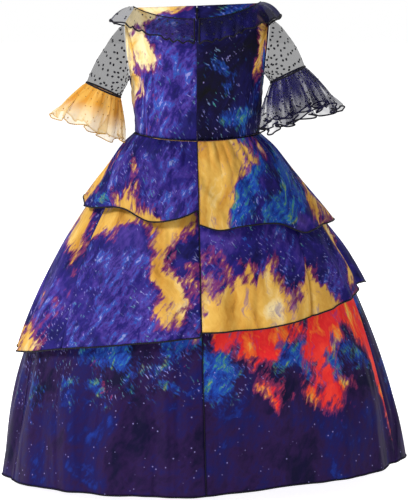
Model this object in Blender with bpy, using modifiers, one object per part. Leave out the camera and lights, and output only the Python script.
"""Princess costume dress for a child of about 130 cm, filled out as it is worn.

The dress has a printed bodice with a centre back zip, a ruffle collar and short sleeves of
dotted mesh, bell flounces on the cuffs, and two tiers over a full-length skirt.

Frame: metres, +Z up, the back of the dress faces -Y, its right side as seen from behind is +X.
The origin is at the wearer's neck, level with the neckline. Heights in the tables are measured
upwards from the hem, and NECK_HEIGHT turns them into Z.

Angles go round the body in degrees: 0 is the centre back, 90 the right side (+X), 180 the
centre front and 270 the left side (-X).
"""

import math

import bmesh
import bpy
from mathutils import Matrix, Vector

# Driving dimensions
CLOTH = 0.0012  # wall of every cloth piece
SEAM_GAP = 0.0003  # free space between pieces that are sewn together
CUFF_GAP = 0.0007  # the flounce starts this far below the sleeve's edge
NECK_HEIGHT = 0.936  # neckline above the hem
WAIST_HEIGHT = 0.680  # waist seam at the side seams
WAIST_DIP = 0.010  # the waist seam hangs lower at the centre back
CHEST_HEIGHT = 0.795  # level of the underarms
CHEST_SHARE = 0.40  # share of the bodice grid below that level
LEAN = 0.018  # the hem's middle lies this far to the right of the neck's
LAYER = CLOTH + 0.0004  # spacing of the skirt layers in the waist seam
SLANT_ALLOWANCE = 1.4  # seams that run at a slant need more than half a gap a side
DEPTH_SHARE = 0.76  # depth of the skirt as a share of its width
FRONT_DROP = 0.045  # the neckline is lower in front
FRONT_DROP_POWER = 1.2  # higher keeps more of it at the centre front
SHOULDER_TILT = 0.038  # the right shoulder is higher, per metre across
NECK_SIZE = (0.124, 0.080)  # half width and half depth of the neckline
SHOULDER_TIP = (0.145, 0.032)  # end of the shoulder seam: half width, drop from the neckline
NECK_ANGLE = 46.0  # the neckline's share of each quarter, up to the shoulder seam
STRAP_ANGLE = 50.0  # the shoulder seam ends and the armhole starts here
ARM_ANGLE = 60.0  # the armhole is widest here
COLLAR_DROP = 0.030  # printed band that shows above the ruffle collar
COLLAR_WIDTH = 0.050
COLLAR_GAP_ANGLE = 2.4  # the collar's ends stay apart at the centre back
COLLAR_SEAM_GAP = 0.0006
COLLAR_STANDOFF = 0.010  # its free edge stands off the bodice
COLLAR_SPREAD = (0.043, 0.028)  # how far it reaches out and down at the shoulders
COLLAR_WAVES = 11
COLLAR_WAVE_HEIGHT = 0.0035
COLLAR_WANDER = 25.0  # uneven spacing of the waves in degrees
COLLAR_BOW = 0.008
COLLAR_DROP_POWER = 1.5  # how soon its seam rises to the neckline towards the shoulders
SHOULDER_SEAM_CLEAR = 0.2  # its seam stays this many degrees off the shoulder seam
COLLAR_LIFT_POWER = 6  # higher keeps more of the collar lying on the bodice
BODICE_BOW = 0.008  # the upper back and chest are this full
CHEST_LEAN = 0.3  # how soon the upper back and chest lean in to the neckline
SHOULDER_FULL = (1.06, 0.94)  # fullness below the shoulder seam: back, front
SHOULDER_RISE = 0.70  # level of that fullness, as a share from the chest to the seam
CHEST_RISE = 0.60  # the same level at the centre back and front
SHOULDER_SPREAD = (48.0, 14.0, 0.06)  # middle and reach of the shoulder's fullness in degrees,
# and how much wider the bodice is there
ZIP_TAPE_WIDTH = 0.024
ZIP_END_SHARE = 0.06  # the tape ends just above the waist seam
ZIP_TOP_SHARE = 0.965
TAPE_GAP = 0.0009  # between the flat tape and the curved back
SLIDER_SIZE = (0.0052, 0.0016, 0.0085)  # across, off the cloth, along the zip
SLIDER_SHARE = 0.955  # its place on the bodice, where 1 is the neckline
LUG_SIZE = (0.0010, 0.0036, 0.0026)
PIN_RADIUS = 0.0005
PIN_PLACE = (0.0022, 0.0020)  # off the slider's face, above its middle
TAB_SIZE = (0.0042, 0.0009, 0.0205)  # wide end, thickness, length from the pin
TAB_BARREL = (0.0026, 0.0015, 0.0008)  # length, outer radius, bore radius
TAB_NECK = 0.8  # width of the tab at its barrel, as a share of the barrel's length

# Body under the skirts: height, half width, half depth at the back, half depth in front
SKIRT_SECTIONS = (
    (0.680, 0.1200, 0.0870, 0.0930),
    (0.645, 0.1500, 0.1120, 0.1150),
    (0.562, 0.2000, 0.1540, 0.1520),
    (0.447, 0.2700, 0.2080, 0.2000),
    (0.365, 0.3085, 0.2360, 0.2300),
    (0.243, 0.3520, 0.2640, 0.2580),
    (0.120, 0.3850, 0.2850, 0.2780),
    (-0.020, 0.4100, 0.3000, 0.2930),
)

# Bodice columns in each quarter: evenly spread angle, angle where the column stands
BODICE_COLUMNS = ((0.0, 0.0), (45.0, 46.0), (50.6, 50.0), (70.0, 60.0), (90.0, 90.0))

# Bodice up to the underarms: height, half width, half depth at the back, half depth in front
BODICE_SECTIONS = (
    (0.795, 0.1335, 0.0960, 0.1080),
    (0.740, 0.1290, 0.0920, 0.1010),
    (0.670, 0.1220, 0.0890, 0.0950),
)

# Hems of the layers, all round: angle, height
SKIRT_HEM = (
    (0, 0.004),
    (45, 0.022),
    (90, 0.026),
    (135, 0.016),
    (180, 0.004),
    (225, -0.010),
    (270, -0.014),
    (315, -0.006),
    (360, 0.004),
)
SECOND_TIER_HEM = (
    (0, 0.316),
    (20, 0.322),
    (45, 0.345),
    (70, 0.368),
    (90, 0.377),
    (120, 0.352),
    (150, 0.330),
    (180, 0.312),
    (210, 0.292),
    (240, 0.262),
    (270, 0.243),
    (290, 0.250),
    (315, 0.274),
    (340, 0.292),
    (360, 0.308),
)
FIRST_TIER_HEM = (
    (0, 0.517),
    (9, 0.505),
    (22, 0.514),
    (38, 0.514),
    (50, 0.494),
    (63, 0.501),
    (90, 0.507),
    (115, 0.492),
    (140, 0.510),
    (165, 0.500),
    (190, 0.520),
    (215, 0.512),
    (240, 0.538),
    (262, 0.545),
    (270, 0.556),
    (285, 0.541),
    (302, 0.540),
    (322, 0.543),
    (338, 0.521),
    (350, 0.527),
    (360, 0.544),
)

# How far each tier stands off the body: share of its length, distance
SECOND_TIER_STANDOFF = ((0.0, LAYER), (0.20, 0.005), (0.45, 0.012), (0.70, 0.015), (1.0, 0.021))
FIRST_TIER_STANDOFF = ((0.0, 2 * LAYER), (0.25, 0.0095), (0.60, 0.018), (1.0, 0.026))

# Side seams as seen on each layer: angle at the waist, angle at the hem
FIRST_TIER_SEAMS = {"right": (86, 45), "left": (272, 314)}
SECOND_TIER_SEAMS = {"right": (60, 39), "left": (300, 311)}
SKIRT_SEAMS = {"right": (80, 70), "left": (280, 288)}

# Waves round the layers: count, share of the length where they start and end, height of the
# wave at each, phase in degrees
FIRST_TIER_WAVES = (
    (30, 0.0, 0.45, 0.0030, 0.0, 0),
    (13, 0.25, 1.0, 0.0, 0.0060, 40),
    (7, 0.45, 1.0, 0.0, 0.0035, 110),
)
SECOND_TIER_WAVES = (
    (11, 0.25, 1.0, 0.0, 0.0050, 75),
    (6, 0.35, 1.0, 0.0, 0.0045, 20),
)
SKIRT_WAVES = (
    (9, 0.20, 1.0, 0.0, 0.0060, 10),
    (5, 0.30, 1.0, 0.0, 0.0070, 65),
)

WAVE_WANDER = (3.0, 14.0)  # the waves crowd together this many times round, by these degrees
FOLD_FADE = 1.6  # a fold that runs to the hem has its full depth before it

# Largest folds: angle at the top, angle at the hem, where it starts and ends as shares of
# the length, depth (a ridge is negative), half width in degrees
FIRST_TIER_FOLDS = (
    (276, 276, 0.00, 1.00, 0.0070, 20),
    (290, 298, 0.02, 0.50, 0.0050, 5),
    (60, 52, 0.05, 0.70, 0.0030, 5),
    (8, 14, 0.10, 0.80, 0.0040, 5),
    (335, 330, 0.15, 1.00, 0.0040, 6),
)
SECOND_TIER_FOLDS = (
    (322, 318, 0.45, 1.00, 0.0080, 5),
    (350, 352, 0.40, 1.00, 0.0070, 5),
    (9, 12, 0.50, 1.00, 0.0080, 4),
    (60, 66, 0.40, 1.00, 0.0060, 6),
    (150, 146, 0.35, 1.00, 0.0070, 7),
    (215, 222, 0.40, 1.00, 0.0070, 7),
)
SKIRT_FOLDS = (
    (68, 76, 0.50, 1.00, 0.0120, 5),
    (290, 283, 0.60, 1.00, 0.0120, 5),
    (330, 326, 0.55, 1.00, 0.0080, 7),
    (25, 30, 0.55, 1.00, 0.0080, 7),
    (120, 124, 0.45, 1.00, 0.0100, 7),
    (235, 230, 0.45, 1.00, 0.0100, 7),
)

# Sleeves: centre of the cuff and of the flounce's hem as (x, y, height), where their outer ends
# lie from that centre as (x, height), half depth of the hem, waves round the hem, their height,
# and how far the shoulder line bows out and up
SLEEVES = {
    "left": {
        "cuff": (-0.1870, -0.012, 0.7690),
        "outer": (-0.0340, 0.0150),
        "hem": (-0.2200, -0.014, 0.6880),
        "hem_outer": (-0.0690, 0.0270),
        "hem_deep": 0.0640,
        "waves": 9,
        "wave_height": 0.0060,
        "bow": (0.007, 0.020),
    },
    "right": {
        "cuff": (0.1810, -0.024, 0.8000),
        "outer": (0.0340, 0.0165),
        "hem": (0.2050, -0.050, 0.7060),
        "hem_outer": (0.0770, 0.0240),
        "hem_deep": 0.0680,
        "waves": 11,
        "wave_height": 0.0080,
        "bow": (0.009, 0.024),
    },
}
ARMHOLE_DEPTH = 0.048  # half depth of the armhole, front to back
UNDERARM_SAG = 0.004
SLEEVE_FULL = 0.014  # fullness of the sleeve, front and back
FLARE_POWER = 1.5  # higher opens the flounce sooner below the cuff
HEM_WANDER = 0.5  # uneven spacing of the flounce's waves in radians
HEM_SWAY = (3.0, 0.7, 0.004)  # the flounce's hem dips: times round, phase, depth

# Under layer of the right flounce: its length as a share of the upper layer's, how far inside it
# lies at the cuff and at its hem, phase of its waves in half turns, their height as a share
UNDER_LAYER = {
    "length": 0.84,
    "start": 0.0030,
    "inset": 0.0105,
    "shift": 0.5,
    "wave_share": 0.5,
}

# Grids: columns for the back halves and the front, rows
BODICE_GRID = (16, 32, 7)
FIRST_TIER_GRID = (26, 66, 4)
SECOND_TIER_GRID = (18, 48, 4)
SKIRT_GRID = (20, 40, 5)
COLLAR_GRID = (48, 2)
SLEEVE_GRID = (24, 4)
FLOUNCE_WAVE_COLUMNS = 5
FLOUNCE_ROWS = 3
TAPE_GRID = (6, 7)

# Colours of the cloth and metal: red, green, blue, roughness, metallic
FINISHES = {
    "printed_satin": (0.10, 0.08, 0.35, 0.55, 0.0),
    "navy_mesh": (0.03, 0.03, 0.09, 0.80, 0.0),
    "grey_mesh": (0.16, 0.16, 0.20, 0.80, 0.0),
    "yellow_mesh": (0.80, 0.55, 0.15, 0.80, 0.0),
    "zip_metal": (0.05, 0.05, 0.07, 0.35, 1.0),
    "zip_tape": (0.04, 0.04, 0.08, 0.75, 0.0),
}


def clear_scene():
    for obj in list(bpy.data.objects):
        bpy.data.objects.remove(obj, do_unlink=True)


def new_material(name):
    red, green, blue, roughness, metallic = FINISHES[name]
    material = bpy.data.materials.new(name)
    material.use_nodes = True
    shader = material.node_tree.nodes["Principled BSDF"]
    shader.inputs["Base Color"].default_value = (red, green, blue, 1.0)
    shader.inputs["Roughness"].default_value = roughness
    shader.inputs["Metallic"].default_value = metallic
    return material


def lerp(a, b, share):
    return a + (b - a) * share


def ease(share):
    """0 to 1 with level ends."""
    share = min(max(share, 0.0), 1.0)
    return share * share * (3.0 - 2.0 * share)


def read_table(rows, at):
    """Values of a table whose rows start with a rising or falling key, smooth between rows."""
    if rows[0][0] > rows[-1][0]:
        rows = rows[::-1]
    at = min(max(at, rows[0][0]), rows[-1][0])
    index = max(i for i in range(len(rows) - 1) if rows[i][0] <= at)
    before = rows[max(index - 1, 0)]
    low = rows[index]
    high = rows[index + 1]
    after = rows[min(index + 2, len(rows) - 1)]
    span = high[0] - low[0]
    share = (at - low[0]) / span
    values = []
    for column in range(1, len(low)):
        slope_low = (high[column] - before[column]) / (high[0] - before[0]) * span
        slope_high = (after[column] - low[column]) / (after[0] - low[0]) * span
        square = share * share
        cube = square * share
        values.append(
            (2 * cube - 3 * square + 1) * low[column]
            + (cube - 2 * square + share) * slope_low
            + (3 * square - 2 * cube) * high[column]
            + (cube - square) * slope_high
        )
    return values


def place(x, y, height):
    return Vector((x, y, height - NECK_HEIGHT))


def waist_height(angle):
    """The waist seam dips at the centre back."""
    back_share = max(math.cos(math.radians(angle)), 0.0)
    return WAIST_HEIGHT - WAIST_DIP * back_share * back_share


def ring_point(sections, angle, height, out=0.0):
    """Point on the body at an angle and a height, moved level outwards by out."""
    half_width, half_back, half_front = read_table(sections, height)
    turn = math.radians(angle)
    half_depth = half_back if math.cos(turn) > 0.0 else half_front
    flat = Vector((half_width * math.sin(turn), -half_depth * math.cos(turn), 0.0))
    away = Vector((math.sin(turn) / half_width, -math.cos(turn) / half_depth, 0.0)).normalized()
    shift = LEAN * (WAIST_HEIGHT - height) / WAIST_HEIGHT if height < WAIST_HEIGHT else 0.0
    spot = flat + away * out
    return place(spot.x + shift, spot.y, height)


def wave_offset(waves, angle, share):
    """Outward offset of all the waves, which are uneven round the body and never inwards."""
    total = 0.0
    for count, start, end, start_height, end_height, phase in waves:
        if share < start or share > end:
            continue
        along = (share - start) / (end - start)
        height = lerp(start_height, end_height, ease(along))
        wander = WAVE_WANDER[1] * math.sin(math.radians(WAVE_WANDER[0] * angle + phase))
        swing = math.cos(math.radians(count * angle + phase + wander))
        total += height * 0.5 * (1.0 + swing)
    return total


def fold_offset(folds, angle, share):
    """Inward offset of the largest folds, each a soft trough along its own line."""
    total = 0.0
    for top_angle, hem_angle, start, end, depth, half_width in folds:
        if share <= start:
            continue
        along = min((share - start) / (end - start), 1.0)
        fade = ease(along * FOLD_FADE) if end == 1.0 else math.sin(math.pi * along)
        centre = lerp(top_angle, hem_angle, share)
        across = (angle - centre) / half_width
        total += depth * fade * math.exp(-across * across)
    return total


def layer_point(layer, angle, share):
    """Point on a skirt layer: share is 0 at the waist and 1 at the hem."""
    top = waist_height(angle)
    hem = read_table(layer["hem"], angle)[0]
    height = lerp(top, hem, share)
    out = read_table(layer["standoff"], share)[0]
    out += wave_offset(layer["waves"], angle, share)
    out -= fold_offset(layer["folds"], angle, share)
    return ring_point(SKIRT_SECTIONS, angle, height, out)


def armhole(turn, back):
    """Point on the armhole: turn is 0 at the shoulder and pi at the underarm."""
    drop = 0.5 * (1.0 - math.cos(turn))
    x = lerp(SHOULDER_TIP[0], BODICE_SECTIONS[0][1], drop)
    y = -back * ARMHOLE_DEPTH * math.sin(turn)
    height = lerp(NECK_HEIGHT - SHOULDER_TIP[1], CHEST_HEIGHT, drop)
    return x, y, height


def bodice_top(angle):
    """Upper edge of the bodice: neckline, shoulder seam, then armhole down to the underarm."""
    quarter = min(angle % 180.0, 180.0 - angle % 180.0)
    right = 1.0 if angle <= 180.0 else -1.0
    back = 1.0 if angle < 90.0 or angle > 270.0 else -1.0
    if quarter <= NECK_ANGLE:
        turn = math.radians(90.0 * quarter / NECK_ANGLE)
        drop = 0.0 if back > 0 else FRONT_DROP * math.cos(turn) ** FRONT_DROP_POWER
        x = NECK_SIZE[0] * math.sin(turn)
        y = -back * NECK_SIZE[1] * math.cos(turn)
        height = NECK_HEIGHT - drop
    elif quarter <= STRAP_ANGLE:
        share = (quarter - NECK_ANGLE) / (STRAP_ANGLE - NECK_ANGLE)
        x = lerp(NECK_SIZE[0], SHOULDER_TIP[0], share)
        y = -back * 0.5 * SEAM_GAP
        height = NECK_HEIGHT - SHOULDER_TIP[1] * share
    elif quarter <= ARM_ANGLE:
        share = (quarter - STRAP_ANGLE) / (ARM_ANGLE - STRAP_ANGLE)
        x, y, height = armhole(0.5 * math.pi * share, back)
    else:
        share = (quarter - ARM_ANGLE) / (90.0 - ARM_ANGLE)
        x, y, height = armhole(0.5 * math.pi * (1.0 + share), back)
    x *= right
    return place(x, y, height + SHOULDER_TILT * x)


def bodice_point(angle, share):
    """Point on the bodice: share is 0 at the waist and 1 at the upper edge."""
    start = waist_height(angle) + SEAM_GAP + CLOTH
    if share <= CHEST_SHARE:
        height = lerp(start, CHEST_HEIGHT, share / CHEST_SHARE)
        return ring_point(BODICE_SECTIONS, angle, height)
    along = (share - CHEST_SHARE) / (1.0 - CHEST_SHARE)
    chest = ring_point(BODICE_SECTIONS, angle, CHEST_HEIGHT)
    top = bodice_top(angle)
    turn = math.radians(angle)
    quarter = min(angle % 180.0, 180.0 - angle % 180.0)
    middle, reach, widening = SHOULDER_SPREAD
    over_shoulder = math.exp(-(((quarter - middle) / reach) ** 2))
    bow = BODICE_BOW * math.cos(turn) * abs(math.cos(turn))
    control = chest.lerp(top, 0.5)
    control.x *= 1.0 + widening * over_shoulder
    over_y = chest.y * (SHOULDER_FULL[0] if math.cos(turn) > 0.0 else SHOULDER_FULL[1])
    control.y = lerp(lerp(chest.y, top.y, CHEST_LEAN) - bow, over_y, over_shoulder)
    control.z = lerp(chest.z, top.z, lerp(CHEST_RISE, SHOULDER_RISE, over_shoulder))
    return chest * (1 - along) ** 2 + control * (2 * along * (1 - along)) + top * along ** 2


def off_bodice(angle, share, out):
    """Point of the bodice moved out square to its surface, which is found by small steps."""
    step = 0.01
    angle_step = 0.1
    across = bodice_point(angle + angle_step, share) - bodice_point(angle, share)
    upwards = bodice_point(angle, share) - bodice_point(angle, share - step)
    return bodice_point(angle, share) + across.cross(upwards).normalized() * out


def crowd(angle):
    """Bodice columns lie closer together round the armholes."""
    quarter = int(angle // 90.0) % 4
    local = angle - 90.0 * quarter
    from_middle = local if quarter % 2 == 0 else 90.0 - local
    rows = BODICE_COLUMNS
    index = max(i for i in range(len(rows) - 1) if rows[i][0] <= from_middle)
    share = (from_middle - rows[index][0]) / (rows[index + 1][0] - rows[index][0])
    spread = lerp(rows[index][1], rows[index + 1][1], share)
    return 90.0 * quarter + (spread if quarter % 2 == 0 else 90.0 - spread)


def collar_point(angle, share):
    """Point on the ruffle collar: share is 0 at its seam and 1 at its free edge.

    The seam lies on the bodice, below the neckline at the centre back and front and on the
    neckline at the shoulders, where the collar spreads over the sleeve heads.
    """
    turn = math.radians(angle)
    shoulder_share = abs(math.sin(turn)) ** COLLAR_LIFT_POWER
    middle_share = abs(math.cos(turn)) ** COLLAR_DROP_POWER
    quarter = min(angle % 180.0, 180.0 - angle % 180.0) / 90.0
    on_neck = min(quarter * NECK_ANGLE, NECK_ANGLE - SHOULDER_SEAM_CLEAR)
    side = 90.0 * (angle // 90.0)
    body_angle = side + on_neck if angle // 90.0 % 2 == 0 else side + 90.0 - on_neck
    share_per_metre = (1.0 - CHEST_SHARE) / (NECK_HEIGHT - CHEST_HEIGHT)
    seam_share = 1.0 - COLLAR_DROP * middle_share * share_per_metre
    share_down = seam_share - COLLAR_WIDTH * share_per_metre * share
    off_cloth = lerp(CLOTH + COLLAR_SEAM_GAP, COLLAR_STANDOFF, share)
    lying = off_bodice(body_angle, share_down, off_cloth)
    seam = off_bodice(body_angle, seam_share, CLOTH + COLLAR_SEAM_GAP)
    outward = Vector((math.sin(turn), -math.cos(turn), 0.0))
    bow = COLLAR_BOW * 4.0 * share * (1.0 - share)
    rise = 2 * CLOTH + bow - COLLAR_SPREAD[1] * share
    spread = seam + outward * COLLAR_SPREAD[0] * share + Vector((0.0, 0.0, rise))
    wander = COLLAR_WANDER * math.sin(2.0 * turn)
    wave = math.sin(math.radians(COLLAR_WAVES * angle + wander))
    ripple = COLLAR_WAVE_HEIGHT * wave * share
    return lying.lerp(spread, shoulder_share) + outward * ripple


def sleeve_rings(side):
    """Functions of the sleeve's armhole, cuff and flounce hem, by the angle round the arm."""
    sleeve = SLEEVES[side]
    hand = 1.0 if side == "right" else -1.0
    outer = Vector((sleeve["outer"][0], 0.0, sleeve["outer"][1]))
    hem_outer = Vector((sleeve["hem_outer"][0], 0.0, sleeve["hem_outer"][1]))
    backward = Vector((0.0, -1.0, 0.0))

    def start(turn):
        around = math.pi - abs(math.pi - turn)
        back = 1.0 if turn <= math.pi else -1.0
        x, y, height = armhole(around, back)
        return place(hand * (x + CLOTH + 2 * SEAM_GAP), y, height + SHOULDER_TILT * hand * x)

    def ring(centre, across, deep, turn):
        return place(*centre) + across * math.cos(turn) + backward * deep * math.sin(turn)

    def cuff(turn):
        return ring(sleeve["cuff"], outer, outer.length, turn)

    def hem(turn):
        return ring(sleeve["hem"], hem_outer, sleeve["hem_deep"], turn)

    return start, cuff, hem


def sleeve_point(side, turn, share):
    """Point on a sleeve: share is 0 at the armhole and 1 at the cuff."""
    start, cuff, _ = sleeve_rings(side)
    hand = 1.0 if side == "right" else -1.0
    begin = start(turn)
    end = cuff(turn)
    top_share = 0.5 * (1.0 + math.cos(turn))
    bow_out, bow_up = SLEEVES[side]["bow"]
    middle = begin.lerp(end, 0.5)
    middle.x += hand * bow_out * top_share
    middle.z += lerp(-UNDERARM_SAG, bow_up, top_share)
    middle.y -= SLEEVE_FULL * math.sin(turn)
    return begin * (1 - share) ** 2 + middle * (2 * share * (1 - share)) + end * share ** 2


def flounce_point(side, turn, share, under=False):
    """Point on a flounce: share is 0 at the cuff and 1 at its free hem."""
    sleeve = SLEEVES[side]
    _, cuff, hem = sleeve_rings(side)
    cuff_centre = place(*sleeve["cuff"])
    hem_centre = place(*sleeve["hem"])
    along = share * UNDER_LAYER["length"] if under else share
    phase = UNDER_LAYER["shift"] * math.pi if under else 0.0
    arm = (cuff(turn) - cuff_centre).lerp(hem(turn) - hem_centre, 1.0 - (1.0 - along) ** FLARE_POWER)
    swing = math.sin(turn * sleeve["waves"] + HEM_WANDER * math.sin(2.0 * turn) + phase)
    inside = lerp(UNDER_LAYER["start"], UNDER_LAYER["inset"], share) if under else 0.0
    calm = UNDER_LAYER["wave_share"] if under else 1.0
    out = sleeve["wave_height"] * along * swing * calm - inside
    down = (hem_centre - cuff_centre).normalized()
    times, start, depth = HEM_SWAY
    drop = depth * along * math.sin(times * turn + start) + CUFF_GAP * (1.0 - along)
    return cuff_centre.lerp(hem_centre, along) + arm + arm.normalized() * out + down * drop


def make_cloth(name, point, columns, rows, material, tube=False):
    """A cloth piece: a grid bent onto point(across, down) and given the wall's thickness.

    The wall lies outside the surface, or inside it on a tube.
    """
    bm = bmesh.new()
    bmesh.ops.create_grid(bm, x_segments=columns, y_segments=rows, size=0.5)
    for vert in bm.verts:
        vert.co = point(vert.co.x + 0.5, 0.5 - vert.co.y)
    if tube:
        bmesh.ops.remove_doubles(bm, verts=bm.verts, dist=0.00001)
    mesh = bpy.data.meshes.new(name)
    bm.to_mesh(mesh)
    bm.free()
    mesh.shade_smooth()
    obj = bpy.data.objects.new(name, mesh)
    mesh.materials.append(material)
    wall = obj.modifiers.new("Wall", "SOLIDIFY")
    wall.thickness = CLOTH
    wall.offset = -1.0 if tube else 1.0
    DRESS.objects.link(obj)
    return obj


def panel_angles(seams, share, part):
    """Angles where a panel starts and ends at this share of the length, clear of its seams."""
    right = lerp(seams["right"][0], seams["right"][1], share)
    left = lerp(seams["left"][0], seams["left"][1], share)
    return {"back_right": (0.0, right), "front": (right, left), "back_left": (left, 360.0)}[part]


def inset(start, end, across, radius):
    """Angle across a panel that leaves half a seam gap, and a little for the wall's slant."""
    margin = math.degrees(0.5 * SEAM_GAP / radius) * SLANT_ALLOWANCE
    return lerp(start + margin, end - margin, across)


def make_layer(name, layer, material):
    """The three panels of a skirt layer."""
    back_columns, front_columns, rows = layer["grid"]
    for part in ("back_left", "back_right", "front"):
        columns = front_columns if part == "front" else back_columns

        def point(across, down, part=part):
            start, end = panel_angles(layer["seams"], down, part)
            height = lerp(WAIST_HEIGHT, 0.0, down)
            radius = read_table(SKIRT_SECTIONS, height)[1]
            angle = inset(start, end, across, radius * DEPTH_SHARE)
            return layer_point(layer, angle, down)

        make_cloth(f"{name}_{part}", point, columns, rows, material)


def make_bodice(material):
    seams = {"right": (90.0, 90.0), "left": (270.0, 270.0)}
    back_columns, front_columns, rows = BODICE_GRID
    for part in ("back_left", "back_right", "front"):
        columns = front_columns if part == "front" else back_columns

        def point(across, down, part=part):
            start, end = panel_angles(seams, down, part)
            angle = inset(start, end, across, BODICE_SECTIONS[-1][2])
            return bodice_point(crowd(angle), 1.0 - down)

        make_cloth(f"bodice_{part}", point, columns, rows, material)


def make_collar(material):
    columns, rows = COLLAR_GRID
    halves = {"right": (COLLAR_GAP_ANGLE, 180.0), "left": (180.0, 360.0 - COLLAR_GAP_ANGLE)}
    for side, (start, end) in halves.items():

        def point(across, down, start=start, end=end):
            return collar_point(inset(start, end, across, NECK_SIZE[1]), down)

        make_cloth(f"collar_{side}", point, columns, rows, material)


def make_sleeves(sleeve_material, flounce_materials):
    columns, rows = SLEEVE_GRID
    for side, sleeve in SLEEVES.items():
        sense = 1.0 if side == "left" else -1.0

        def around(across, sense=sense):
            return (2.0 * math.pi * across * sense) % (2.0 * math.pi)

        def sleeve_surface(across, down, side=side, around=around):
            return sleeve_point(side, around(across), down)

        def flounce_surface(across, down, side=side, around=around):
            return flounce_point(side, around(across), down)

        def under_surface(across, down, side=side, around=around):
            return flounce_point(side, around(across), down, under=True)

        cloth = flounce_materials[side]
        grid = (sleeve["waves"] * FLOUNCE_WAVE_COLUMNS, FLOUNCE_ROWS)
        make_cloth(f"sleeve_{side}", sleeve_surface, columns, rows, sleeve_material, tube=True)
        make_cloth(f"flounce_{side}", flounce_surface, *grid, cloth, tube=True)
        if side == "right":
            make_cloth("flounce_right_under", under_surface, *grid, cloth, tube=True)


def make_zip_tape(material):
    """The zip's tape lies inside the centre back seam, from the waist to the neckline."""

    chest_rate = math.radians(BODICE_SECTIONS[0][1])
    neck_rate = math.radians(NECK_SIZE[0] * 90.0 / NECK_ANGLE)

    def point(across, down):
        share = lerp(ZIP_TOP_SHARE, ZIP_END_SHARE, down)
        above_chest = max(share - CHEST_SHARE, 0.0) / (1.0 - CHEST_SHARE)
        half_angle = 0.5 * ZIP_TAPE_WIDTH / lerp(chest_rate, neck_rate, above_chest)
        angle = lerp(-half_angle, half_angle, across)
        return off_bodice(angle % 360.0, share, -CLOTH - TAPE_GAP)

    make_cloth("zip_tape", point, *TAPE_GRID, material)


def zip_seat():
    """The slider's place on the centre back: local Z runs up the zip and local -Y off the cloth."""
    seat = off_bodice(0.0, SLIDER_SHARE, CLOTH + SEAM_GAP)
    above = off_bodice(0.0, SLIDER_SHARE + 0.03, CLOTH + SEAM_GAP)
    up = above - seat
    return Matrix.Translation(seat) @ Matrix.Rotation(math.atan2(-up.y, up.z), 4, "X")


def solid_box(name, size, centre, collection):
    bpy.ops.mesh.primitive_cube_add(size=1.0)
    return finish_solid(name, Matrix.Translation(centre) @ Matrix.Diagonal((*size, 1.0)), collection)


def solid_rod(name, radius, length, centre, collection):
    """A round rod along X."""
    bpy.ops.mesh.primitive_cylinder_add(vertices=16, radius=radius, depth=length)
    turned = Matrix.Translation(centre) @ Matrix.Rotation(math.pi / 2, 4, "Y")
    return finish_solid(name, turned, collection)


def finish_solid(name, matrix, collection):
    obj = bpy.context.object
    obj.name = name
    obj.data.name = name
    obj.data.transform(matrix)
    for old in list(obj.users_collection):
        old.objects.unlink(obj)
    collection.objects.link(obj)
    if collection is HELPERS:
        obj.hide_render = True
        obj.display_type = "WIRE"
    return obj


def combine(base, other, operation):
    step = base.modifiers.new(other.name, "BOOLEAN")
    step.operation = operation
    step.object = other
    other.matrix_world = base.matrix_world
    other.parent = base.parent


def make_slider(seat, metal):
    across, thick, along = SLIDER_SIZE
    pin_off, pin_up = PIN_PLACE
    pin = (0.0, -thick - pin_off, pin_up)
    slider = solid_box("zip_slider", SLIDER_SIZE, (0.0, -0.5 * thick, 0.0), DRESS)
    slider.data.materials.append(metal)
    slider.matrix_world = seat
    lug_x = 0.5 * (across - LUG_SIZE[0])
    lug_y = pin[1] - PIN_RADIUS * 2 + 0.5 * LUG_SIZE[1]
    for hand in (-1, 1):
        lug = solid_box(f"slider_lug_{hand}", LUG_SIZE, (hand * lug_x, lug_y, pin_up), HELPERS)
        combine(slider, lug, "UNION")
    rod = solid_rod("slider_pin", PIN_RADIUS, 2 * lug_x, pin, HELPERS)
    combine(slider, rod, "UNION")
    return seat @ Vector(pin)


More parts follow.
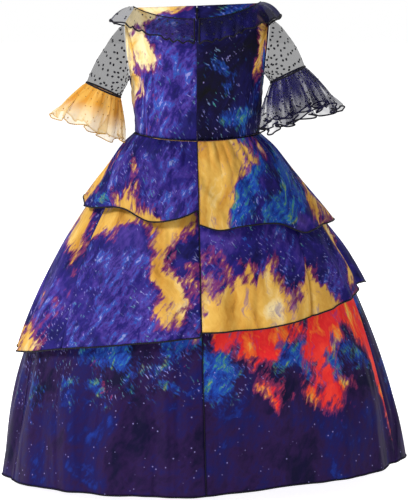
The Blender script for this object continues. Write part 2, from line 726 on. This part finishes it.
def make_pull_tab(pin, metal):
    """The tab hangs from the slider's pin, its lower end just clear of the cloth."""
    width, thick, length = TAB_SIZE
    barrel_length, barrel_radius, bore_radius = TAB_BARREL
    fall = length / (NECK_HEIGHT - CHEST_HEIGHT) * (1.0 - CHEST_SHARE)
    rest = off_bodice(0.0, SLIDER_SHARE - fall, CLOTH + 2 * SEAM_GAP + thick)
    hang = pin - rest
    tab = solid_box("zip_pull_tab", (width, thick, length), (0.0, 0.0, -0.5 * length), DRESS)
    for vert in tab.data.vertices:
        if vert.co.z > -0.5 * length:
            vert.co.x *= TAB_NECK * barrel_length / width
    tab.data.materials.append(metal)
    turned = Matrix.Rotation(math.atan2(-hang.y, hang.z), 4, "X")
    tab.matrix_world = Matrix.Translation(pin) @ turned
    barrel = solid_rod("tab_barrel", barrel_radius, barrel_length, (0, 0, 0), HELPERS)
    combine(tab, barrel, "UNION")
    bore = solid_rod("tab_bore", bore_radius, 2 * barrel_length, (0, 0, 0), HELPERS)
    combine(tab, bore, "DIFFERENCE")


def build():
    satin = new_material("printed_satin")
    navy = new_material("navy_mesh")
    grey = new_material("grey_mesh")
    yellow = new_material("yellow_mesh")
    metal = new_material("zip_metal")
    make_bodice(satin)
    make_collar(navy)
    make_sleeves(grey, {"left": yellow, "right": navy})
    make_layer("first_tier", FIRST_TIER, satin)
    make_layer("second_tier", SECOND_TIER, satin)
    make_layer("skirt", SKIRT, satin)
    make_zip_tape(new_material("zip_tape"))
    make_pull_tab(make_slider(zip_seat(), metal), metal)


FIRST_TIER = {
    "hem": FIRST_TIER_HEM,
    "standoff": FIRST_TIER_STANDOFF,
    "waves": FIRST_TIER_WAVES,
    "folds": FIRST_TIER_FOLDS,
    "seams": FIRST_TIER_SEAMS,
    "grid": FIRST_TIER_GRID,
}
SECOND_TIER = {
    "hem": SECOND_TIER_HEM,
    "standoff": SECOND_TIER_STANDOFF,
    "waves": SECOND_TIER_WAVES,
    "folds": SECOND_TIER_FOLDS,
    "seams": SECOND_TIER_SEAMS,
    "grid": SECOND_TIER_GRID,
}
SKIRT = {
    "hem": SKIRT_HEM,
    "standoff": ((0.0, 0.0), (1.0, 0.0)),
    "waves": SKIRT_WAVES,
    "folds": SKIRT_FOLDS,
    "seams": SKIRT_SEAMS,
    "grid": SKIRT_GRID,
}

clear_scene()
DRESS = bpy.data.collections.new("princess_dress")
HELPERS = bpy.data.collections.new("helpers")
bpy.context.scene.collection.children.link(DRESS)
bpy.context.scene.collection.children.link(HELPERS)
build()
